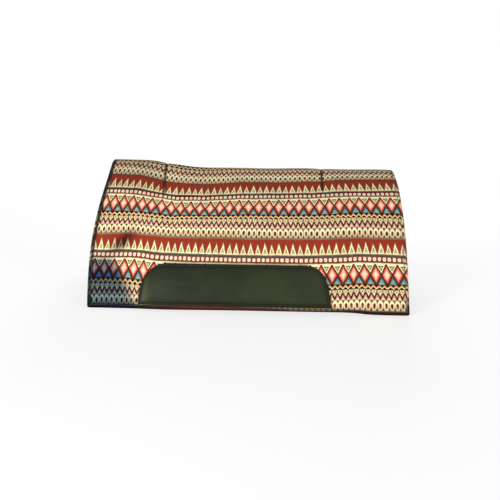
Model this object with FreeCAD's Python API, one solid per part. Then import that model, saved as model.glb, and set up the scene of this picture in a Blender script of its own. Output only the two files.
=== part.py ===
import FreeCAD
import Part

import math
import os

# Contoured western saddle pad, in millimetres.
#
# +Z is up, X runs along the horse's back with the withers towards -X, and -Y is
# the horse's near (left) side.  The origin is the middle of the pad's footprint,
# level with the two lower edges that it stands on.
#
# The pad is a sandwich: a woven cover turned down round every edge, a felt core
# and a felt lining.  Every piece is described in the pad's own sheet coordinates:
#   u      distance along the back from the middle, rearwards positive
#   s      distance down from the spine over the outside, near side positive
#   depth  distance under the outer face, so a piece on top has a negative depth

# ---- driving dimensions ----

hem_length = 806.0            # length along the lower edges
side_drop = 433.0             # spine to lower edge, over the outside
hem_straight = 22.0           # last stretch of each side, which hangs straight

cover_thickness = 1.5
core_thickness = 12.5
lining_thickness = 4.0
ply_gap = 0.3                 # clearance between soft layers
edge_round = 7.0              # radius of the rolled upper rim

front_take_up = 21.0          # how much the spine falls short of the hem at the front
rear_take_up = 9.5            # and at the rear
take_up_drop = 300.0          # distance down the side over which it dies away
take_up_power = 1.6

# How steeply each side hangs, in degrees below level, at stops down its length:
# the spine, the edge of the ridge, three shares of the drop, and the start of the
# straight hem.  Between two stops the side is a circular arc.
ridge_half_width = 20.0
flank_shares = [0.254, 0.4965, 0.7968]
front_fall = [0.0, 48.0, 44.0, 51.5, 65.0, 73.0]
middle_fall = [0.0, 41.0, 31.0, 55.0, 56.0, 79.0]
rear_fall = [0.0, 19.0, 40.0, 53.5, 66.0, 71.0]
front_break = -233.0          # where the withers' shape fades into the middle's
front_fade = 36.0
rear_break = 223.0            # where the middle's shape fades into the rump's
rear_fade = 50.0

front_dart_u = -247.0
front_dart_reach = 114.0      # length of the dart on each side of the spine
front_dart_slant = 14.0       # how far the dart's foot lies behind its middle
rear_dart_u = 199.5
rear_dart_reach = 95.0
rear_dart_slant = -1.0

leather_centre_x = -26.0
leather_foot_length = 484.0   # along the lower edge
leather_side_slant = 18.0     # how far each side leans in from foot to top
leather_height = 93.0
leather_foot_height = 13.0    # lower edge of the leather above the hem
leather_front_corner = 62.0   # radius of the upper corner by the withers
leather_rear_corner = 50.0
leather_thickness = 2.4

thread_radius = 0.6
edge_stitch_inset = 9.0
leather_stitch_inset = 4.5
stitch_corner_gap = 2.2       # between the ends of two seams that meet at a corner

# ---- worked-out sizes ----

core_top = cover_thickness + ply_gap
core_bottom = core_top + core_thickness
lining_top = core_bottom + ply_gap
pad_thickness = lining_top + lining_thickness
ply_inset = cover_thickness + ply_gap

fall_stops = [0.0, ridge_half_width]
fall_stops += [share * side_drop for share in flank_shares]
fall_stops.append(side_drop - hem_straight)

station_spacing = 31.0
length_stations = 1 + round(hem_length / station_spacing)
ridge_steps = 10
flank_steps = 30
rim_steps = 3
seam_stations = 40
leather_seam_step = 8.0


# ---- the shape of the draped sheet ----

def fade(value, centre, width):
    return 1.0 / (1.0 + math.exp((value - centre) / width))


def fall_angles(u):
    """Angles below level, in radians, at the ends of the side's arcs."""
    front = fade(u, front_break, front_fade)
    rear = 1.0 - fade(u, rear_break, rear_fade)
    middle = 1.0 - front - rear
    rows = zip(front_fall, middle_fall, rear_fall)
    return [math.radians(front * a + middle * b + rear * c) for a, b, c in rows]


def arc_travel(start, end, length):
    """Outward and downward travel along an arc that turns from start to end."""
    turn = end - start
    if abs(turn) < 1e-6:
        return length * math.cos(start), length * math.sin(start)
    radius = length / turn
    out = radius * (math.sin(end) - math.sin(start))
    down = radius * (math.cos(start) - math.cos(end))
    return out, down


def hang(u, distance):
    """Outward and downward travel and angle at a distance from the spine."""
    angles = fall_angles(u)
    out = 0.0
    down = 0.0
    for index in range(len(fall_stops) - 1):
        start = fall_stops[index]
        span = fall_stops[index + 1] - start
        run = min(distance - start, span)
        end_angle = angles[index] + (angles[index + 1] - angles[index]) * run / span
        step_out, step_down = arc_travel(angles[index], end_angle, run)
        out += step_out
        down += step_down
        if distance <= fall_stops[index + 1]:
            return out, down, end_angle
    run = distance - fall_stops[-1]
    return out + run * math.cos(angles[-1]), down + run * math.sin(angles[-1]), angles[-1]


def lengthwise(u, distance):
    """Place along X: the darts gather the spine, so it is shorter than the hem."""
    share = max(0.0, 1.0 - distance / take_up_drop) ** take_up_power
    rearward = u / hem_length + 0.5
    return u + share * (front_take_up * (1.0 - rearward) - rear_take_up * rearward)


def sheet_point(u, s, depth):
    distance = abs(s)
    side = -1.0 if s > 0 else 1.0
    out, down, angle = hang(u, distance)
    height = hang(u, side_drop)[1] - down
    y = side * (out - depth * math.sin(angle))
    return FreeCAD.Vector(lengthwise(u, distance), y, height - depth * math.cos(angle))


def level_edge(u, inset, depth):
    """Distance from the spine at which this depth is the inset above the hem line."""
    angle = fall_angles(u)[-1]
    return side_drop - (inset + depth * math.cos(angle)) / math.sin(angle)


# ---- solids made from the sheet ----

def spread(low, high, count):
    return [low + (high - low) * index / (count - 1) for index in range(count)]


def side_shares():
    """Shares of the side's length, closer together over the ridge."""
    ridge_share = 2.5 * ridge_half_width / side_drop
    near_ridge = spread(0.0, ridge_share, ridge_steps)
    flank = spread(ridge_share, 1.0, flank_steps)
    half = near_ridge + flank[1:]
    return [-share for share in reversed(half[1:])] + half


def pad_level(inset, depth):
    """Grid of points over the whole pad, inset from its edges, at one depth."""
    reach = hem_length / 2 - inset
    rows = []
    for u in spread(-reach, reach, length_stations):
        edge = level_edge(u, inset, depth)
        rows.append([sheet_point(u, share * edge, depth) for share in side_shares()])
    return rows


def patch_level(u_range, s_range, depth):
    """Grid of points over part of the pad at one depth."""
    rows = []
    for u in spread(u_range[0], u_range[1], length_stations):
        across = spread(s_range[0], s_range[1], flank_steps)
        rows.append([sheet_point(u, s, depth) for s in across])
    return rows


def cap(rows):
    surface = Part.BSplineSurface()
    surface.interpolate(rows)
    return surface


def curve_edge(points):
    curve = Part.BSplineCurve()
    curve.interpolate(points)
    return curve.toShape()


def loop_curves(rows):
    """The four border curves of a grid, in order round it."""
    front = rows[0]
    rear = rows[-1]
    first = [row[0] for row in rows]
    last = [row[-1] for row in rows]
    return [curve_edge(front), curve_edge(last), curve_edge(rear), curve_edge(first)]


def cap_curves(surface):
    """The same four borders, taken from a cap's own surface."""
    u_low, u_high, v_low, v_high = surface.bounds()
    sides = [
        surface.uIso(u_low),
        surface.vIso(v_high),
        surface.uIso(u_high),
        surface.vIso(v_low),
    ]
    return [side.toShape() for side in sides]


def closed_solid(faces):
    skin = Part.makeCompound(faces)
    skin.sewShape(0.01)
    shell = Part.Shell(skin.Faces)
    if Part.makeSolid(shell).Volume < 0:
        shell.reverse()
    return Part.makeSolid(shell)


def strip(upper_side, lower_side):
    """Face between two border curves, a true plane where both lie in one."""
    ruled = Part.makeRuledSurface(upper_side, lower_side)
    plane = ruled.findPlane()
    if plane:
        return Part.Face(plane, [ruled.OuterWire])
    return ruled


def stacked_solid(levels):
    """Closed solid through a stack of grids, capped on the first and the last."""
    first_cap = cap(levels[0])
    last_cap = cap(levels[-1])
    loops = [cap_curves(first_cap)]
    loops += [loop_curves(rows) for rows in levels[1:-1]]
    loops.append(cap_curves(last_cap))
    faces = [first_cap.toShape(), last_cap.toShape()]
    for upper, lower in zip(loops, loops[1:]):
        for upper_side, lower_side in zip(upper, lower):
            faces.append(strip(upper_side, lower_side))
    return closed_solid(faces)


def rolled_rim(inset):
    """Levels round the rolled upper rim, for a ply lying this far inside it."""
    levels = []
    for angle in spread(0.0, math.pi / 2, rim_steps + 1):
        radius = edge_round - inset
        rim_inset = edge_round - radius * math.sin(angle)
        rim_depth = edge_round - radius * math.cos(angle)
        levels.append(pad_level(rim_inset, rim_depth))
    return levels


def make_cover():
    outside = rolled_rim(0.0) + [pad_level(0.0, pad_thickness)]
    inside = rolled_rim(cover_thickness) + [pad_level(cover_thickness, pad_thickness)]
    return stacked_solid(outside + inside[::-1])


def make_core():
    return stacked_solid(rolled_rim(ply_inset) + [pad_level(ply_inset, core_bottom)])


def make_lining():
    return stacked_solid([pad_level(ply_inset, lining_top), pad_level(ply_inset, pad_thickness)])


# ---- wear leathers ----

def leather_corners(inset):
    """Corners in the XZ plane from the front foot round to the rear foot."""
    foot = leather_foot_height + inset
    top = leather_foot_height + leather_height - inset
    lean = leather_side_slant / leather_height
    half_foot = leather_foot_length / 2 - inset * (1.0 + lean)
    half_top = half_foot - lean * (top - foot)
    return [
        FreeCAD.Vector(leather_centre_x - half_foot, 0, foot),
        FreeCAD.Vector(leather_centre_x - half_top, 0, top),
        FreeCAD.Vector(leather_centre_x + half_top, 0, top),
        FreeCAD.Vector(leather_centre_x + half_foot, 0, foot),
    ]


def corner_arc(before, corner, after, radius):
    """Arc that rounds a corner between two straight lines."""
    back = (before - corner).normalize()
    ahead = (after - corner).normalize()
    half_angle = back.getAngle(ahead) / 2
    cut = radius / math.tan(half_angle)
    nearest = radius / math.sin(half_angle) - radius
    middle = corner + (back + ahead).normalize() * nearest
    return Part.Arc(corner + back * cut, middle, corner + ahead * cut).toShape()


def leather_edges(inset):
    """Sides and top with their two large corners, then the foot."""
    front_foot, front_top, rear_top, rear_foot = leather_corners(inset)
    front_arc = corner_arc(front_foot, front_top, rear_top, leather_front_corner - inset)
    rear_arc = corner_arc(front_top, rear_top, rear_foot, leather_rear_corner - inset)
    front_side = Part.LineSegment(front_foot, front_arc.firstVertex().Point).toShape()
    top = Part.LineSegment(front_arc.lastVertex().Point, rear_arc.firstVertex().Point).toShape()
    rear_side = Part.LineSegment(rear_arc.lastVertex().Point, rear_foot).toShape()
    foot = Part.LineSegment(rear_foot, front_foot).toShape()
    return [front_side, front_arc, top, rear_arc, rear_side], foot


def side_distance(x, z, depth):
    """Sheet coordinates u and distance of the place on a side at this x and z."""
    u = x
    distance = side_drop - z
    for _ in range(12):
        place = sheet_point(u, distance, depth)
        u += x - place.x
        distance += (place.z - z) / math.sin(hang(u, distance)[2])
    return u, distance


def make_leather(side):
    """Side is +1 for the near leather and -1 for the off leather."""
    margin = 15.0
    half = leather_foot_length / 2 + margin
    u_range = (leather_centre_x - half, leather_centre_x + half)
    top_height = leather_foot_height + leather_height
    highest = side_distance(leather_centre_x, top_height, 0.0)[1] - 2 * margin
    s_range = (side * highest, side * (side_drop - hem_straight / 8))
    outer = patch_level(u_range, s_range, -ply_gap - leather_thickness)
    inner = patch_level(u_range, s_range, -ply_gap)
    slab = stacked_solid([outer, inner])
    upper_edges, foot_edge = leather_edges(0.0)
    outline = Part.Face(Part.Wire(upper_edges + [foot_edge]))
    beyond = 2 * side_drop
    punch = outline.extrude(FreeCAD.Vector(0, -side * beyond, 0))
    return slab.common(punch).Solids[0]


# ---- sewing ----

def thread_along(points):
    """Round thread through the points, straight from each ring to the next."""
    rings = []
    for index, point in enumerate(points):
        ahead = points[min(index + 1, len(points) - 1)]
        behind = points[max(index - 1, 0)]
        rings.append(Part.Wire(Part.makeCircle(thread_radius, point, ahead - behind)))
    return Part.makeLoft(rings, True, True)


def seam_depths():
    """Depths of the thread on the outer face and on the underside."""
    lift = ply_gap + thread_radius
    return [-lift, pad_thickness + lift]


def make_end_stitching(end):
    """End is -1 at the withers and +1 at the rump; one thread on each face."""
    u = end * (hem_length / 2 - edge_stitch_inset)
    threads = []
    for depth in seam_depths():
        reach = level_edge(u, edge_stitch_inset, depth)
        points = [sheet_point(u, share * reach, depth) for share in side_shares()]
        threads.append(thread_along(points))
    return Part.makeCompound(threads)


def make_hem_stitching(side):
    """Side is +1 for the near hem and -1 for the off hem."""
    reach = hem_length / 2 - edge_stitch_inset - stitch_corner_gap
    threads = []
    for depth in seam_depths():
        points = []
        for u in spread(-reach, reach, seam_stations):
            distance = level_edge(u, edge_stitch_inset, depth)
            points.append(sheet_point(u, side * distance, depth))
        threads.append(thread_along(points))
    return Part.makeCompound(threads)


def make_dart_seam(u_middle, reach, slant):
    lift = -ply_gap - thread_radius
    points = []
    for share in spread(-1.0, 1.0, seam_stations + 1):
        u = u_middle + slant * abs(share)
        points.append(sheet_point(u, share * reach, lift))
    return thread_along(points)


def make_leather_stitching(side):
    """One thread up and over the leather, and one along its foot."""
    lift = -2 * ply_gap - leather_thickness - thread_radius
    upper_edges, foot_edge = leather_edges(leather_stitch_inset)
    threads = []
    for wire in (Part.Wire(upper_edges), Part.Wire(foot_edge)):
        run = wire.discretize(Distance=leather_seam_step)
        points = []
        for place in run[1:-1]:
            u, distance = side_distance(place.x, place.z, lift)
            points.append(sheet_point(u, side * distance, lift))
        threads.append(thread_along(points))
    return Part.makeCompound(threads)


# ---- assembly ----

pieces = {
    "top_cover": make_cover(),
    "felt_core": make_core(),
    "felt_lining": make_lining(),
    "near_wear_leather": make_leather(1),
    "off_wear_leather": make_leather(-1),
    "near_leather_stitching": make_leather_stitching(1),
    "off_leather_stitching": make_leather_stitching(-1),
    "front_dart_seam": make_dart_seam(front_dart_u, front_dart_reach, front_dart_slant),
    "rear_dart_seam": make_dart_seam(rear_dart_u, rear_dart_reach, rear_dart_slant),
    "front_edge_stitching": make_end_stitching(-1),
    "rear_edge_stitching": make_end_stitching(1),
    "near_hem_stitching": make_hem_stitching(1),
    "off_hem_stitching": make_hem_stitching(-1),
}

os.makedirs("parts", exist_ok=True)
for name, shape in pieces.items():
    shape.exportStep("parts/" + name + ".step")
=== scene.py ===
import math

import bmesh
import bpy
import numpy as np
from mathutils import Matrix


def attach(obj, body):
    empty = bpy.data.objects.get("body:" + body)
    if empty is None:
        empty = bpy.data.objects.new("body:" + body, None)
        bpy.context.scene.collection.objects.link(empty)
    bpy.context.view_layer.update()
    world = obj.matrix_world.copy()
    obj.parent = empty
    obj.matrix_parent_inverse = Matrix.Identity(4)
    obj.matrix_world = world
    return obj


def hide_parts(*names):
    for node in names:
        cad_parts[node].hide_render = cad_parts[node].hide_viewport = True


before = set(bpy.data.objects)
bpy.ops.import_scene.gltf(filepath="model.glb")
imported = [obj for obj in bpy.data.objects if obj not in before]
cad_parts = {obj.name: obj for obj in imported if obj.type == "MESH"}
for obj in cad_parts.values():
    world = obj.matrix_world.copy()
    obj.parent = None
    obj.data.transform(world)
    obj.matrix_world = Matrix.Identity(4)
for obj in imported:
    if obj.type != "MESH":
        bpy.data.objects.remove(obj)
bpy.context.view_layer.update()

# ---- camera ----
# Stands off the pad's near side, a little above it and looking slightly down.

scene = bpy.context.scene
camera_data = bpy.data.cameras.new("camera")
camera_data.sensor_width = 36.0
camera_data.lens = 40.23
camera = bpy.data.objects.new("camera", camera_data)
camera.location = (0.0914, -1.5583, 0.511)
camera.rotation_euler = (math.radians(74.695), 0.0, math.radians(3.3146))
scene.collection.objects.link(camera)
scene.camera = camera
scene.view_settings.view_transform = "Standard"

# ---- floor and light ----
# A wide white paper floor that runs into a white surround, lit by three large soft
# lamps: the key from the front on the withers' side, a fill and a rear lamp.


def paint(red, green, blue):
    """A colour written in the usual 0 to 255 steps, as the linear one nodes take."""
    linear = []
    for step in (red, green, blue):
        share = step / 255.0
        linear.append(share / 12.92 if share <= 0.04045 else ((share + 0.055) / 1.055) ** 2.4)
    return (*linear, 1.0)


def feed(tree, socket, value):
    """Sets a socket to a plain value, or links it to another node's output."""
    if isinstance(value, bpy.types.NodeSocket):
        tree.links.new(value, socket)
    else:
        socket.default_value = value


def add_node(tree, kind, inputs=None, **settings):
    """Adds a node with its settings, and feeds the inputs given by name or number."""
    node = tree.nodes.new(kind)
    for name, value in settings.items():
        setattr(node, name, value)
    for key, value in (inputs or {}).items():
        feed(tree, node.inputs[key], value)
    return node


def sum_up(tree, operation, *values):
    """One step of arithmetic on plain values or on other nodes' outputs."""
    node = add_node(tree, "ShaderNodeMath", operation=operation)
    for socket, value in zip(node.inputs, values):
        feed(tree, socket, value)
    return node.outputs[0]


def ranged(tree, value, source, target=(0.0, 1.0), **settings):
    """Carries a value from one range over to another, and holds it at the ends."""
    return add_node(tree, "ShaderNodeMapRange", {
        "Value": value, "From Min": source[0], "From Max": source[1],
        "To Min": target[0], "To Max": target[1]}, **settings).outputs[0]


def seen_rays(tree):
    """1 for rays that show the surround to the eye, straight or in a reflection."""
    path = add_node(tree, "ShaderNodeLightPath")
    direct = sum_up(tree, "MAXIMUM", path.outputs["Is Camera Ray"], path.outputs["Is Glossy Ray"])
    return sum_up(tree, "MAXIMUM", direct, path.outputs["Is Transmission Ray"])


surround_light = 0.34
world = bpy.data.worlds.new("surround")
world.use_nodes = True
scene.world = world
tree = world.node_tree
tree.nodes.clear()
strength = ranged(tree, seen_rays(tree), (0.0, 1.0), (surround_light, 1.0))
sky = add_node(tree, "ShaderNodeBackground", {"Color": (1.0, 1.0, 1.0, 1.0), "Strength": strength})
output = add_node(tree, "ShaderNodeOutputWorld")
tree.links.new(sky.outputs[0], output.inputs["Surface"])

floor_half = 6.0
floor_level = -0.0095
floor_corners = ((-1, -1), (1, -1), (1, 1), (-1, 1))
floor_mesh = bpy.data.meshes.new("floor")
floor_mesh.from_pydata(
    [(x * floor_half, y * floor_half, floor_level) for x, y in floor_corners], [], [(0, 1, 2, 3)])
floor = bpy.data.objects.new("floor", floor_mesh)
scene.collection.objects.link(floor)
paper = bpy.data.materials.new("white_paper_floor")
paper.use_nodes = True
tree = paper.node_tree
tree.nodes.clear()
place_on_floor = add_node(tree, "ShaderNodeTexCoord").outputs["Object"]
reach = add_node(tree, "ShaderNodeVectorMath", {0: place_on_floor}, operation="LENGTH")
far = ranged(tree, reach.outputs["Value"], (0.7, 2.2), interpolation_type="SMOOTHSTEP")
matt = add_node(tree, "ShaderNodeBsdfDiffuse", {"Color": (0.75, 0.75, 0.75, 1.0)})
shadowed = add_node(tree, "ShaderNodeBsdfDiffuse", {"Color": (0.36, 0.36, 0.36, 1.0)})
glow = add_node(tree, "ShaderNodeEmission", {"Color": (1.0, 1.0, 1.0, 1.0), "Strength": 0.70})
white = add_node(tree, "ShaderNodeEmission", {"Color": (1.0, 1.0, 1.0, 1.0), "Strength": 1.0})
near_floor = add_node(tree, "ShaderNodeAddShader", {0: shadowed.outputs[0], 1: glow.outputs[0]})
shown = add_node(tree, "ShaderNodeMixShader", {0: far, 1: near_floor.outputs[0], 2: white.outputs[0]})
whole = add_node(tree, "ShaderNodeMixShader", {
    0: seen_rays(tree), 1: matt.outputs[0], 2: shown.outputs[0]})
output = add_node(tree, "ShaderNodeOutputMaterial")
tree.links.new(whole.outputs[0], output.inputs["Surface"])
floor_mesh.materials.append(paper)


def add_lamp(name, place, watts, size):
    lamp = bpy.data.lights.new(name, "AREA")
    lamp.shape = "DISK"
    lamp.size = size
    lamp.energy = watts
    holder = bpy.data.objects.new(name, lamp)
    aim = np.array([0.0, -0.1, 0.17]) - np.array(place)
    level = math.hypot(aim[0], aim[1])
    holder.location = place
    holder.rotation_euler = (math.atan2(level, -aim[2]), 0.0, math.atan2(-aim[0], aim[1]))
    scene.collection.objects.link(holder)


add_lamp("key_lamp", (-1.5, -2.3, 0.56), 60.0, 0.8)
add_lamp("fill_lamp", (1.7, -2.0, 0.6), 17.0, 1.4)
add_lamp("rear_lamp", (0.3, 2.4, 0.9), 56.0, 1.6)

# ---- felt core ----
# A thick pressed felt blank, cut to the pad's outline and darted so that it keeps the
# arch of a horse's back.  Every layer of the pad hangs in this one shape.

# Sizes are in millimetres.  u runs along the back, s down a side from the spine (near
# side positive), and depth is measured in from the cover's face.  The falls are angles
# below level at the spine, the ridge's edge, three shares of the drop and the hem.

hem_length = 806.0
side_drop = 433.0
hem_straight = 22.0
ridge_half_width = 20.0
front_fall = np.radians([0.0, 48.0, 44.0, 51.5, 65.0, 73.0])
middle_fall = np.radians([0.0, 41.0, 31.0, 55.0, 56.0, 79.0])
rear_fall = np.radians([0.0, 19.0, 40.0, 53.5, 66.0, 71.0])
flank_shares = (0.254, 0.4965, 0.7968)
flank_stops = [share * side_drop for share in flank_shares]
fall_stops = np.array([0.0, ridge_half_width, *flank_stops, side_drop - hem_straight])
front_take_up = 21.0
rear_take_up = 9.5
take_up_drop = 300.0
cover_thickness = 1.5
core_thickness = 12.5
lining_thickness = 4.0
ply_gap = 0.3
edge_round = 7.0
corner_round = 6.0
core_top = cover_thickness + ply_gap
lining_top = core_top + core_thickness + ply_gap
pad_thickness = lining_top + lining_thickness
edge_stitch_inset = 9.0
front_dart = {"u": -247.0, "reach": 114.0, "slant": 14.0, "wedge": 15.0}
rear_dart = {"u": 199.5, "reach": 95.0, "slant": -1.0, "wedge": 8.0}
dent_u, dent_s = -297.0, 292.0


def fade(value, centre, width):
    """1 well below the centre, 0 well above it, with a soft change between."""
    return 1.0 / (1.0 + np.exp((value - centre) / width))


def hang(u, distance):
    """Outward and downward travel, and angle below level, at a distance from the spine."""
    u, distance = np.broadcast_arrays(u, distance)
    front = fade(u, -233.0, 36.0)
    rear = 1.0 - fade(u, 223.0, 50.0)
    middle = 1.0 - front - rear
    falls = [front * a + middle * b + rear * c
             for a, b, c in zip(front_fall, middle_fall, rear_fall)]
    out = np.zeros_like(front)
    down = np.zeros_like(front)
    angle = np.zeros_like(front)
    for index in range(len(fall_stops) - 1):
        span = fall_stops[index + 1] - fall_stops[index]
        run = np.clip(distance - fall_stops[index], 0.0, span)
        turn = (falls[index + 1] - falls[index]) * run / span
        chord = run * np.sinc(turn / 2 / math.pi)
        out = out + chord * np.cos(falls[index] + turn / 2)
        down = down + chord * np.sin(falls[index] + turn / 2)
        angle = np.where(run > 0, falls[index] + turn, angle)
    run = np.clip(distance - fall_stops[-1], 0.0, None)
    return out + run * np.cos(falls[-1]), down + run * np.sin(falls[-1]), angle


def level_edge(u, inset, depth):
    """Distance from the spine at which a depth lies the inset above the hem line."""
    angle = hang(u, side_drop)[2]
    return side_drop - (inset + depth * np.cos(angle)) / np.sin(angle)


def dart_pull(u, s, dart, dip, width, crease):
    """How far a dart draws the layers in: a broad dip and a sharp crease."""
    along = np.abs(s) / dart["reach"]
    off = np.abs(u - dart["u"] - dart["slant"] * along)
    broad = dip * np.exp(-(off / width) ** 2) * fade(np.abs(s), dart["reach"] * 0.85, 16.0)
    sharp = crease * np.exp(-off / 3.2) * fade(np.abs(s), dart["reach"], 3.0)
    return broad + sharp


def settle(u, s, depth):
    """Small shape that use has given the pad: dart creases, a dent and stitch grooves."""
    drawn = dart_pull(u, s, front_dart, 2.6, 24.0, 2.2)
    drawn = drawn + dart_pull(u, s, rear_dart, 1.0, 20.0, 1.8)
    near = fade(-s, 0.0, 6.0)
    across_dent = (u - dent_u) * 0.80 + (s - dent_s) * 0.60
    along_dent = -(u - dent_u) * 0.60 + (s - dent_s) * 0.80
    dent = 4.6 * np.exp(-(across_dent / 19.0) ** 2 - (along_dent / 62.0) ** 2) * near
    wave = 1.5 * np.sin(u / 61.0 + s / 90.0) * np.sin(s / 74.0) + 0.8 * np.sin(u / 33.0 - s / 47.0)
    from_edge = np.minimum(hem_length / 2 - np.abs(u), side_drop - np.abs(s))
    calm = np.clip(from_edge / 60.0, 0.0, 1.0)
    facing = 1.0 - 2.0 * depth / pad_thickness
    groove = 1.1 * np.exp(-((from_edge - edge_stitch_inset) / 2.2) ** 2) * facing
    return drawn + dent + wave * calm * 0.8 + groove


def sag(u, s):
    """How far use has let the lower corners down, most of all at the withers' end."""
    share = np.abs(s) / side_drop
    front = 9.0 * fade(u, -215.0, 55.0) * share ** 4
    rear = 6.2 * (1.0 - fade(u, 290.0, 14.0)) * share ** 9
    return front + rear


def taken_up(u, s):
    """Place along the back of a point of the sheet, once the darts have shortened the spine."""
    share = np.clip(1.0 - np.abs(s) / take_up_drop, 0.0, None) ** 1.6
    rearward = u / hem_length + 0.5
    return u + share * (front_take_up * (1.0 - rearward) - rear_take_up * rearward)


def lie(u, s, depth):
    """Points in metres at these places on the hanging pad, along the last axis."""
    u, s, depth = np.broadcast_arrays(u, s, depth)
    distance = np.abs(s)
    out, down, angle = hang(u, distance)
    height = hang(u, side_drop)[1] - down
    inward = depth + settle(u, s, depth)
    flare = 6.0 * (1.0 - fade(u, 340.0, 22.0)) * (distance / side_drop) ** 5
    x = taken_up(u, s) + flare
    y = np.where(s > 0, -1.0, 1.0) * (out - inward * np.sin(angle))
    z = np.maximum(height - inward * np.cos(angle), 0.0) - sag(u, s)
    return np.stack([x, y, z], axis=-1) * 0.001


def ruled_lines(half, step, close_to):
    """Evenly spaced lines from -half to half, drawn closer at the edges and at marks."""
    lines = [half - back for back in (0.0, 1.2, 2.0, 3.4, 5.4, 8.4)]
    lines += list(np.linspace(0.0, half - 14.0, round(half / step)))
    lines = sorted({*lines, *[-line for line in lines]})
    for mark in close_to:
        lines = [line for line in lines if abs(line - mark) > 11.0]
        lines += [mark + off for off in (-10, -7, -4.5, -2.5, -1, 0, 1, 2.5, 4.5, 7, 10)]
    return np.array(sorted(lines)) / half


def pad_level(shares, inset, depth):
    """Sheet coordinates of a whole level of the pad, with its corners rounded."""
    reach = hem_length / 2 - inset
    u = (shares[0] * reach)[:, None]
    edge = level_edge(u, inset, depth)
    s = shares[1][None, :] * edge
    u = np.broadcast_to(u, s.shape)
    radius = max(corner_round - inset, 1.0)
    from_end = radius - (reach - np.abs(u))
    from_hem = radius - (edge - np.abs(s))
    inside = (from_end > 0) & (from_hem > 0)
    spread = np.hypot(from_end, from_hem) + 1e-9
    shrink = np.where(inside, np.maximum(from_end, from_hem) / spread, 1.0)
    u = np.where(inside, np.sign(u) * (reach - radius + from_end * shrink), u)
    s = np.where(inside, np.sign(s) * (edge - radius + from_hem * shrink), s)
    return u, s


def border(grid):
    """The outline of a grid, once round."""
    return np.concatenate([grid[0, :-1], grid[:-1, -1], grid[-1, :0:-1], grid[:0:-1, 0]])


def sheet_quads(rows, columns):
    """The four corners of each face of a grid of points."""
    number = np.arange(rows * columns).reshape(rows, columns)
    quads = [number[:-1, :-1], number[1:, :-1], number[1:, 1:], number[:-1, 1:]]
    return np.stack(quads, axis=-1).reshape(-1, 4)


def closed_mesh(name, points, faces):
    """A smooth mesh whose faces all point outwards."""
    mesh = bpy.data.meshes.new(name)
    mesh.from_pydata(points.tolist(), [], faces)
    turned = bmesh.new()
    turned.from_mesh(mesh)
    bmesh.ops.recalc_face_normals(turned, faces=turned.faces)
    turned.to_mesh(mesh)
    turned.free()
    mesh.shade_smooth()
    return mesh


def stacked_mesh(name, first, loops, last):
    """Closed mesh from a full grid, through outline loops, to another full grid."""
    rows, columns = first.shape[:2]
    number = np.arange(rows * columns).reshape(rows, columns)
    rings = [border(number)]
    total = rows * columns
    for loop in loops:
        rings.append(np.arange(total, total + len(loop)))
        total += len(loop)
    rings.append(border(number + total))
    faces = [sheet_quads(rows, columns), sheet_quads(rows, columns) + total]
    for ring, after in zip(rings, rings[1:]):
        faces.append(np.stack([ring, np.roll(ring, -1), np.roll(after, -1), after], axis=-1))
    points = np.concatenate([first.reshape(-1, 3), *loops, last.reshape(-1, 3)])
    return closed_mesh(name, points, np.concatenate(faces).tolist())


def add_piece(mesh, material):
    mesh.materials.append(material)
    piece = bpy.data.objects.new(mesh.name, mesh)
    scene.collection.objects.link(piece)
    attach(piece, "root")
    return piece


def new_group(name, inputs, outputs):
    """A shader node group with named sockets, and its input and output nodes."""
    group = bpy.data.node_groups.new(name, "ShaderNodeTree")
    for label, (kind, value) in inputs.items():
        socket = group.interface.new_socket(label, in_out="INPUT", socket_type=kind)
        if value is not None:
            socket.default_value = value
    for label, kind in outputs.items():
        group.interface.new_socket(label, in_out="OUTPUT", socket_type=kind)
    return group, group.nodes.new("NodeGroupInput").outputs, group.nodes.new("NodeGroupOutput").inputs


def place_group(tree, group, inputs):
    node = add_node(tree, "ShaderNodeGroup", node_tree=group)
    for name, value in inputs.items():
        feed(tree, node.inputs[name], value)
    return node.outputs


def blend_colours(tree, factor, first, second, blend_type="MIX"):
    """Two colours mixed by a factor; inputs 6 and 7 are a Mix node's colour sockets."""
    node = add_node(tree, "ShaderNodeMix", data_type="RGBA", blend_type=blend_type)
    feed(tree, node.inputs[0], factor)
    feed(tree, node.inputs[6], first)
    feed(tree, node.inputs[7], second)
    return node.outputs[2]


def scaled(tree, colour, factor):
    node = add_node(tree, "ShaderNodeVectorMath", {0: colour, "Scale": factor}, operation="SCALE")
    return node.outputs[0]


def noise(tree, place, scale, detail, distortion=0.0, **settings):
    node = add_node(tree, "ShaderNodeTexNoise", {
        "Vector": place, "Scale": scale, "Detail": detail, "Distortion": distortion}, **settings)
    return node.outputs


FLOAT, COLOUR, VECTOR = "NodeSocketFloat", "NodeSocketColor", "NodeSocketVector"
felt_fibres, fed, give = new_group(
    "felt fibres",
    {"Place": (VECTOR, None), "Colour": (COLOUR, (0.5, 0.5, 0.5, 1.0)),
     "Fleck": (COLOUR, (0.2, 0.2, 0.2, 1.0)), "Fibre Size": (FLOAT, 900.0)},
    {"Colour": COLOUR, "Roughness": FLOAT, "Height": FLOAT})
hair = noise(felt_fibres, fed["Place"], fed["Fibre Size"], 4.0, 2.2)[0]
lump = noise(felt_fibres, fed["Place"], 46.0, 3.0)[0]
fleck = ranged(felt_fibres, hair, (0.56, 0.7), (0.0, 0.7))
tone = ranged(felt_fibres, lump, (0.3, 0.7), (0.82, 1.12))
plain = blend_colours(felt_fibres, fleck, fed["Colour"], fed["Fleck"])
felt_fibres.links.new(scaled(felt_fibres, plain, tone), give["Colour"])
felt_fibres.links.new(ranged(felt_fibres, hair, (0.0, 1.0), (0.84, 1.0)), give["Roughness"])
felt_fibres.links.new(sum_up(felt_fibres, "MULTIPLY_ADD", lump, 0.8, hair), give["Height"])


def new_material(name):
    material = bpy.data.materials.new(name)
    material.use_nodes = True
    tree = material.node_tree
    return material, tree, tree.nodes["Principled BSDF"]


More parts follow.
